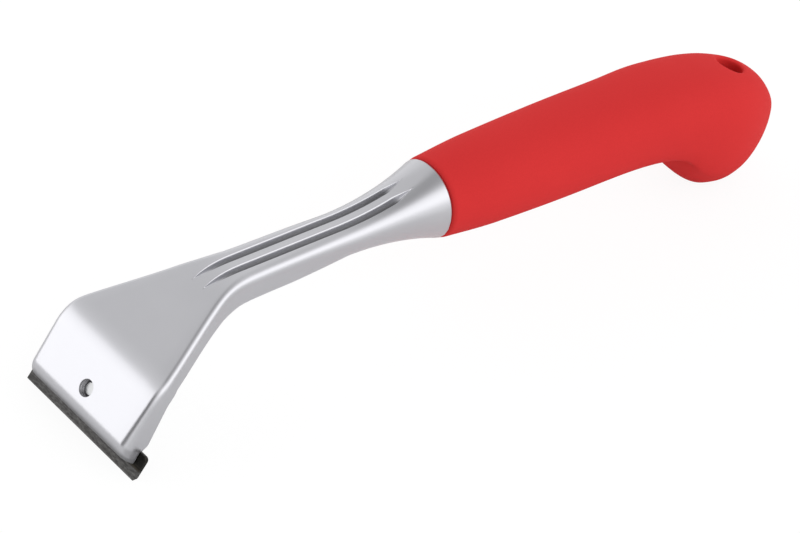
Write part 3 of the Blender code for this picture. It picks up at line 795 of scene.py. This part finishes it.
def make_head(material):
    """Casting in one piece: lip, plate, fluted neck, collar and tang."""
    head = make_object("head_casting_fine", loft(nose_rings() + lip_rings() + plate_rings() + neck_rings()))
    carve(head, loft(hollow_rings()))
    behind = FLANGE_DEPTH + PAST
    below = BLADE_SHOWS - PAST
    shoulder = BLADE_HEIGHT + GAP
    ledge = LIP_THICK + BLADE_LEDGE
    slope = FLANGE_CHAMFER / (FLANGE_DEPTH - ledge)
    rebate = [(below, LIP_THICK), (shoulder, LIP_THICK), (shoulder, ledge),
              (shoulder + slope * (behind - ledge), behind), (below, behind)]
    carve(head, slab(rebate, LIP_WIDTH + 2 * PAST))
    floor, mouth = LIP_THICK - SEAT_RELIEF, behind + PAST
    low, high = shoulder - GAP / 2, SCREW_AT + CLAMP_REACH + GAP
    recess = [(low, floor), (high, floor), (high, mouth), (low, mouth)]
    carve(head, slab(recess, LIP_WIDTH - 2 * HEAD_WALL))
    carve(head, threaded_hole())
    shade_recesses(head.data)
    return put_on(head, "tool", "head_casting", material)


# Blade and clamp

def make_blade(material):
    """Hardened strip with a ground lower face and rounded upper corners."""
    back = BLADE_FRONT + BLADE_THICK
    bevel = BLADE_THICK * -LIP_BACK.z / LIP_BACK.x
    outline = [(0, BLADE_FRONT), (BLADE_HEIGHT, BLADE_FRONT), (BLADE_HEIGHT, back), (bevel, back)]
    bm = slab(outline, BLADE_WIDTH)
    upper_ends = [edge for edge in bm.edges
                  if abs(edge.calc_length() - BLADE_THICK) < SAME_POINT
                  and all((vert.co - LIP_FOOT).dot(LIP_UP) > BLADE_HEIGHT / 2 for vert in edge.verts)]
    bmesh.ops.bevel(bm, geom=upper_ends, offset=BLADE_CORNER, segments=CORNER_STEPS, profile=0.5,
                    affect='EDGES', material=-1)
    break_edges(bm, BLADE_BREAK)
    return put_on(make_object("blade_fine", bm), "blade", "blade", material)


def make_clamp_plate(material):
    """Plate behind the lip, pressed from thick strip, with its corners rounded off."""
    low, high = BLADE_HEIGHT - CLAMP_GRIP, SCREW_AT + CLAMP_REACH
    back, foot = CLAMP_FRONT + CLAMP_THICK, LIP_THICK - SEAT_RELIEF + GAP
    outline = [(low, CLAMP_FRONT), (high - CLAMP_FOOT, CLAMP_FRONT), (high - CLAMP_FOOT, foot),
               (high, foot), (high, back - CLAMP_CHAMFER), (high - CLAMP_CHAMFER, back),
               (low + CLAMP_CHAMFER, back), (low, back - CLAMP_CHAMFER)]
    bm = slab(outline, LIP_WIDTH - 2 * HEAD_WALL - 2 * CLAMP_SIDE_GAP)
    break_edges(bm, CLAMP_BREAK, 3)
    plate = make_object("clamp_plate_fine", bm)
    carve(plate, bar(lip_point(SCREW_AT, BLADE_FRONT - PAST), lip_point(SCREW_AT, back + PAST), WASHER_HOLE))
    return put_on(plate, "clamp", "clamp_plate", material)


def make_washer(material):
    """Split spring washer, swept round the screw with its slit left open."""
    bm = bmesh.new()
    corners = [lip_point(SCREW_AT, WASHER_FRONT) + LIP_UP * radius + LIP_BACK * deep
               for radius, deep in ((WASHER_HOLE, 0), (WASHER_RADIUS, 0), (WASHER_RADIUS, WASHER_THICK),
                                    (WASHER_HOLE, WASHER_THICK))]
    bm.faces.new([bm.verts.new(corner) for corner in corners])
    bmesh.ops.bevel(bm, geom=bm.verts[:], offset=WASHER_BREAK, segments=3, profile=0.5, affect='VERTICES',
                    material=-1)
    bmesh.ops.spin(bm, geom=bm.faces[:] + bm.edges[:] + bm.verts[:], cent=lip_point(SCREW_AT, 0),
                   axis=LIP_BACK, steps=WASHER_STEPS, angle=2 * math.pi - WASHER_SPLIT)
    bmesh.ops.recalc_face_normals(bm, faces=bm.faces)
    return put_on(make_object("spring_washer_fine", bm), "clamp", "spring_washer", material)


def make_screw(material):
    """Machine screw with a cut thread and a hexagon socket in its cheese head."""
    root = THREAD_RADIUS - THREAD_HEIGHT / 2
    tip, neck = SCREW_RECESS, HEAD_FRONT
    top = HEAD_FRONT + SCREW_HEAD_HEIGHT
    narrow = root - TIP_NARROWER
    rings = [screw_ring(tip, narrow), screw_ring(tip + TIP_BREAK, narrow + TIP_BREAK)]
    rings += thread_rings(tip + TIP_LENGTH, neck - RUN_OUT, THREAD_RADIUS)
    rings += [screw_ring(neck - PLAIN_SHANK, root), screw_ring(neck, root),
              screw_ring(neck, SCREW_HEAD_RADIUS - SCREW_HEAD_BREAK),
              screw_ring(neck + SCREW_HEAD_BREAK, SCREW_HEAD_RADIUS)]
    for share in shares(SCREW_EDGE_STEPS):
        angle = share * math.pi / 2
        rings.append(screw_ring(top - SCREW_HEAD_EDGE * (1 - math.sin(angle)),
                                SCREW_HEAD_RADIUS - SCREW_HEAD_EDGE * (1 - math.cos(angle))))
    screw = make_object("clamp_screw_fine", loft(rings))
    socket = [lip_point(SCREW_AT, along) for along in (top - SOCKET_DEPTH, top + PAST)]
    carve(screw, bar(*socket, SOCKET_RADIUS, 6))
    return put_on(screw, "screw", "clamp_screw", material)


# Grip

def from_collar(points):
    return [(x * MM, value * MM) for x, value in points]


def from_end(points):
    return [(GRIP_LENGTH - x * MM, value * MM) for x, value in points]


def grip_shape():
    """Upper line, middle, undersides of handle and knob, sizes and half width, by distance from the collar.

    The knob's underside runs on past the notch in front of it, where it meets the handle's.
    The sizes above and below the middle go to nothing at the grip's round end; the lines are without them.
    """
    start = COLLAR_RADIUS + GRIP_PROUD
    upper = curve_through([(0, start)] + from_collar(TOP_NEAR) + from_end(TOP_FAR))
    handle_under = curve_through([(0, -start)] + from_collar(UNDER_NEAR) + from_end([NOTCH]))
    knob_under = curve_through(from_end(KNOB_UNDER))
    middle_line = curve_through(from_collar(MIDDLE_NEAR) + from_end(MIDDLE_FAR))
    width = curve_through([(0, start)] + from_collar(WIDTH_NEAR) + from_end(WIDTH_FAR))

    def shape(x):
        past = max(0.0, x - GRIP_LENGTH + END_ROUND) / END_ROUND
        sizes = [math.sqrt(max(0.0, 1 - past ** power)) for power in END_POWERS]
        return upper(x), middle_line(x), handle_under(x), knob_under(x), sizes, sizes[0] * width(x)

    return shape


grip_at = grip_shape()


def squareness(x):
    """Exponent of the grip's sections: 2 is an oval, more is squarer."""
    return 2 + SQUARENESS * min(max(x, 0.0) / SQUARE_FROM, 1.0)


def signed_power(value, power):
    return math.copysign(abs(value) ** power, value)


def section_height(x, sine, inset=0.0, low_inset=0.0):
    """Height above the handle's axis of a point of the grip's section, by the sine of its angle."""
    top, middle, handle_under, knob_under, sizes, _ = grip_at(max(x, 0.0))
    rise = abs(sine) ** (2 / squareness(x))
    if sine >= 0:
        return middle + rise * (sizes[0] * (top - middle) - inset)
    soft = NOTCH_SOFT * (1 - ramp_up(math.asin(min(1.0, -sine)), *NOTCH_FADE))
    low = softer_least(handle_under, knob_under, soft)
    return middle + rise * (sizes[1] * (low - middle) + low_inset)


def grip_ring(x, inset=0.0, low_inset=None, sides=128):
    """Section across the grip at a distance from the collar, or of the space inside it."""
    half_width = grip_at(max(x, 0.0))[-1] - inset
    low_inset = inset if low_inset is None else low_inset
    points = []
    for i in range(sides):
        angle = 2 * math.pi * (i + 0.5) / sides
        across = half_width * signed_power(math.cos(angle), 2 / squareness(x))
        points.append(COLLAR + Vector((x, across, section_height(x, math.sin(angle), inset, low_inset))))
    return points


def grip_surface(x, y, side):
    """Height of the grip's top (side 1) or underside (side -1) at a place."""
    cosine = abs(y / grip_at(x)[-1]) ** (squareness(x) / 2)
    return COLLAR.z + section_height(x, side * math.sqrt(max(0.0, 1 - cosine ** 2)))


def grip_rings():
    """Outside of the grip, from its rounded front edge to the knob's end."""
    notch = from_end([NOTCH])[0][0]
    last = GRIP_LENGTH - LAST_RING
    places = [last * (1 - (1 - share) ** 2) for share in shares(GRIP_STEPS)]
    places = [x for x in places if GAP + GRIP_FRONT_ROUND < x < last and abs(x - notch) > NOTCH_CLEAR]
    rings = []
    for share in shares(FRONT_STEPS):
        angle = share * math.pi / 2
        rings.append(grip_ring(GAP + GRIP_FRONT_ROUND * (1 - math.cos(angle)),
                               GRIP_FRONT_ROUND * (1 - math.sin(angle))))
    return rings + [grip_ring(x) for x in sorted(places + [notch])] + [grip_ring(last)]


def core_rings():
    """Space inside the sleeve for the rigid core."""
    last = GRIP_LENGTH - CORE_END
    rings = [grip_ring(-PAST, SLEEVE_WALL, sides=CORE_SIDES)]
    for share in shares(CORE_STEPS):
        x = last * share
        near_under = [section_height(x + shift, -1) for shift in (-SLEEVE_WALL, SLEEVE_WALL)]
        floor = max(near_under) if x < last - SLEEVE_WALL else section_height(x, -1)
        low_inset = max(0.0, floor - section_height(x, -1)) + SLEEVE_WALL
        rings.append(grip_ring(x, SLEEVE_WALL, low_inset, CORE_SIDES))
    return rings


HOLE_X = GRIP_LENGTH - HOLE_FROM_END


def hole_ring(radius, side, drop, sides=64):
    """Ring round the hanging hole, at a depth below the knob's top or above its underside."""
    points = []
    for i in range(sides):
        angle = 2 * math.pi * i / sides
        x, y = HOLE_X + radius * math.cos(angle), radius * math.sin(angle)
        points.append(Vector((COLLAR.x + x, y, grip_surface(x, y, side) - side * drop)))
    return points


def hole_mouth(side):
    """Rings of one flared mouth of the hanging hole, from the wall outwards."""
    rings = []
    for share in shares(MOUTH_STEPS):
        angle = share * MOUTH_TURN
        wide = HOLE_RADIUS + HOLE_ROUND * (1 - math.cos(angle))
        rings.append(hole_ring(wide, side, HOLE_ROUND * (1 - math.sin(angle))))
    return rings + [hole_ring(wide, side, -2 * PAST)]


def make_grip(material):
    """Soft sleeve over the core, with a soft-rimmed hanging hole through its knob."""
    grip = make_object("grip_sleeve_fine", loft(grip_rings()))
    space = make_object("core_space", loft(core_rings()))
    foot = COLLAR + Vector((HOLE_X, 0, 0))
    reach = Vector((0, 0, GRIP_LENGTH / 2))
    carve(space, bar(foot - reach, foot + reach, HOLE_RADIUS + HOLE_LINING))
    hollow = bmesh.new()
    hollow.from_mesh(space.data)
    bpy.data.objects.remove(space)
    carve(grip, hollow)
    carve(grip, loft(hole_mouth(-1)[::-1] + hole_mouth(1)))
    return put_on(grip, "tool", "grip_sleeve", material, math.radians(50))


# Stage

def make_floor():
    """White floor that shows as the background does, and keeps a soft shadow."""
    bm = bmesh.new()
    bmesh.ops.create_grid(bm, x_segments=1, y_segments=1, size=FLOOR_REACH)
    bmesh.ops.translate(bm, verts=bm.verts, vec=(0, 0, -FLOOR_DROP))
    floor = make_object("studio_floor", bm)
    material = bpy.data.materials.new("white_floor")
    material.use_nodes = True
    nodes = Nodes(material.node_tree)
    nodes.tree.nodes.remove(nodes.tree.nodes["Principled BSDF"])
    paper = nodes.add("BsdfDiffuse", {}, {"Color": grey(FLOOR_PAPER)})
    glow = nodes.add("Emission", {}, {"Color": grey(1.0), "Strength": FLOOR_GLOW})
    camera, glossy, through = [nodes.add("LightPath", output=f"Is {kind} Ray")
                               for kind in ("Camera", "Glossy", "Transmission")]
    share = GLOW_SEEN * camera + GLOW_REFLECTED * glossy + GLOW_REFLECTED * through
    mixed = nodes.add("MixShader", {}, {0: share, 1: paper, 2: glow})
    nodes.fill(nodes.tree.nodes["Material Output"], {"Surface": mixed})
    floor.data.materials.append(material)


def make_world():
    """Soft studio: white round the horizon, grey overhead, a dark gap and a long near light."""
    world = bpy.data.worlds.new("studio")
    bpy.context.scene.world = world
    world.use_nodes = True
    nodes = Nodes(world.node_tree)
    places = nodes.add("TexCoord", output="Generated")
    height = nodes.add("SeparateXYZ", {}, {"Vector": places}, 2)
    shade = nodes.add("ValToRGB", {"stops": SKY_SHADES}, {"Fac": height})
    facing = nodes.add("VectorMath", {"operation": 'DOT_PRODUCT'}, {0: places, 1: DARK_GAP}, "Value")
    gap = nodes.add("ValToRGB", {"stops": GAP_SHADES}, {"Fac": facing})
    round_tool = nodes.add("VectorMath", {"operation": 'MULTIPLY'}, {0: places, 1: (0, 1, 1)})
    round_tool = nodes.add("VectorMath", {"operation": 'NORMALIZE'}, {0: round_tool})
    facing = nodes.add("VectorMath", {"operation": 'DOT_PRODUCT'}, {0: round_tool, 1: NEAR_STRIP}, "Value")
    strip = nodes.add("ValToRGB", {"stops": STRIP_SHADES}, {"Fac": facing})
    along = 0.5 + 0.5 * nodes.add("SeparateXYZ", {}, {"Vector": places}, 0)
    beside = nodes.add("ValToRGB", {"stops": STRIP_ALONG}, {"Fac": along})
    strength = gap + STRIP_STRENGTH * strip * beside
    nodes.fill(nodes.tree.nodes["Background"], {"Color": shade, "Strength": strength})


def softbox(name, towards, distance, width, height, radiance, reflected=True):
    """Flat lamp that faces the tool from a direction, and shows in its reflections or not."""
    lamp = bpy.data.lights.new(name, 'AREA')
    lamp.shape = 'RECTANGLE'
    lamp.size, lamp.size_y = width, height
    lamp.energy = radiance * math.pi * width * height
    obj = bpy.data.objects.new(name, lamp)
    bpy.context.scene.collection.objects.link(obj)
    towards = Vector(towards).normalized()
    obj.location = VIEW_AIM + distance * towards
    obj.rotation_euler = towards.to_track_quat('Z', 'Y').to_euler()
    obj.visible_glossy = reflected


def make_camera():
    """Camera where the photograph was taken from."""
    back = Vector((math.sin(VIEW_AZIMUTH) * math.cos(VIEW_ELEVATION),
                   -math.cos(VIEW_AZIMUTH) * math.cos(VIEW_ELEVATION), math.sin(VIEW_ELEVATION)))
    level = Vector((0, 0, 1)).cross(back).normalized()
    upright = back.cross(level)
    right = level * math.cos(VIEW_ROLL) + upright * math.sin(VIEW_ROLL)
    up = upright * math.cos(VIEW_ROLL) - level * math.sin(VIEW_ROLL)
    data = bpy.data.cameras.new("photo_camera")
    data.sensor_fit = 'HORIZONTAL'
    data.sensor_width = SENSOR_WIDTH
    data.lens = VIEW_FOCAL_PIXELS / PHOTO_WIDTH * SENSOR_WIDTH
    camera = bpy.data.objects.new("photo_camera", data)
    bpy.context.scene.collection.objects.link(camera)
    turn = Matrix((right, up, back)).transposed().to_4x4()
    place = VIEW_AIM + VIEW_SHIFT_RIGHT * right + VIEW_SHIFT_UP * up + VIEW_DISTANCE * back
    camera.matrix_world = Matrix.Translation(place) @ turn
    bpy.context.scene.camera = camera


def dress_node(node, material):
    """Give a CAD node that stays in the model its finish."""
    mesh = frame["nodes"][node].data
    mesh.materials.clear()
    mesh.materials.append(material)


steel = plated_steel()
make_head(cast_aluminium())
make_blade(blade_steel())
make_clamp_plate(steel)
make_washer(steel)
make_screw(steel)
make_grip(red_rubber())
dress_node("handle_core", core_plastic())
dress_node("tang_pin", steel)

make_floor()
make_world()
softbox("lip_softbox", (-0.79, 0.55, 0.25), distance=1.2, width=1.1, height=0.88, radiance=0.67)
softbox("far_softbox", (0.3, 0.9, 0.3), distance=1.2, width=1.0, height=0.6, radiance=1.15, reflected=False)
softbox("near_softbox", (0.2, -0.9, 0.3), distance=1.2, width=1.0, height=0.6, radiance=0.55, reflected=False)
make_camera()
bpy.context.scene.view_settings.view_transform = 'Standard'
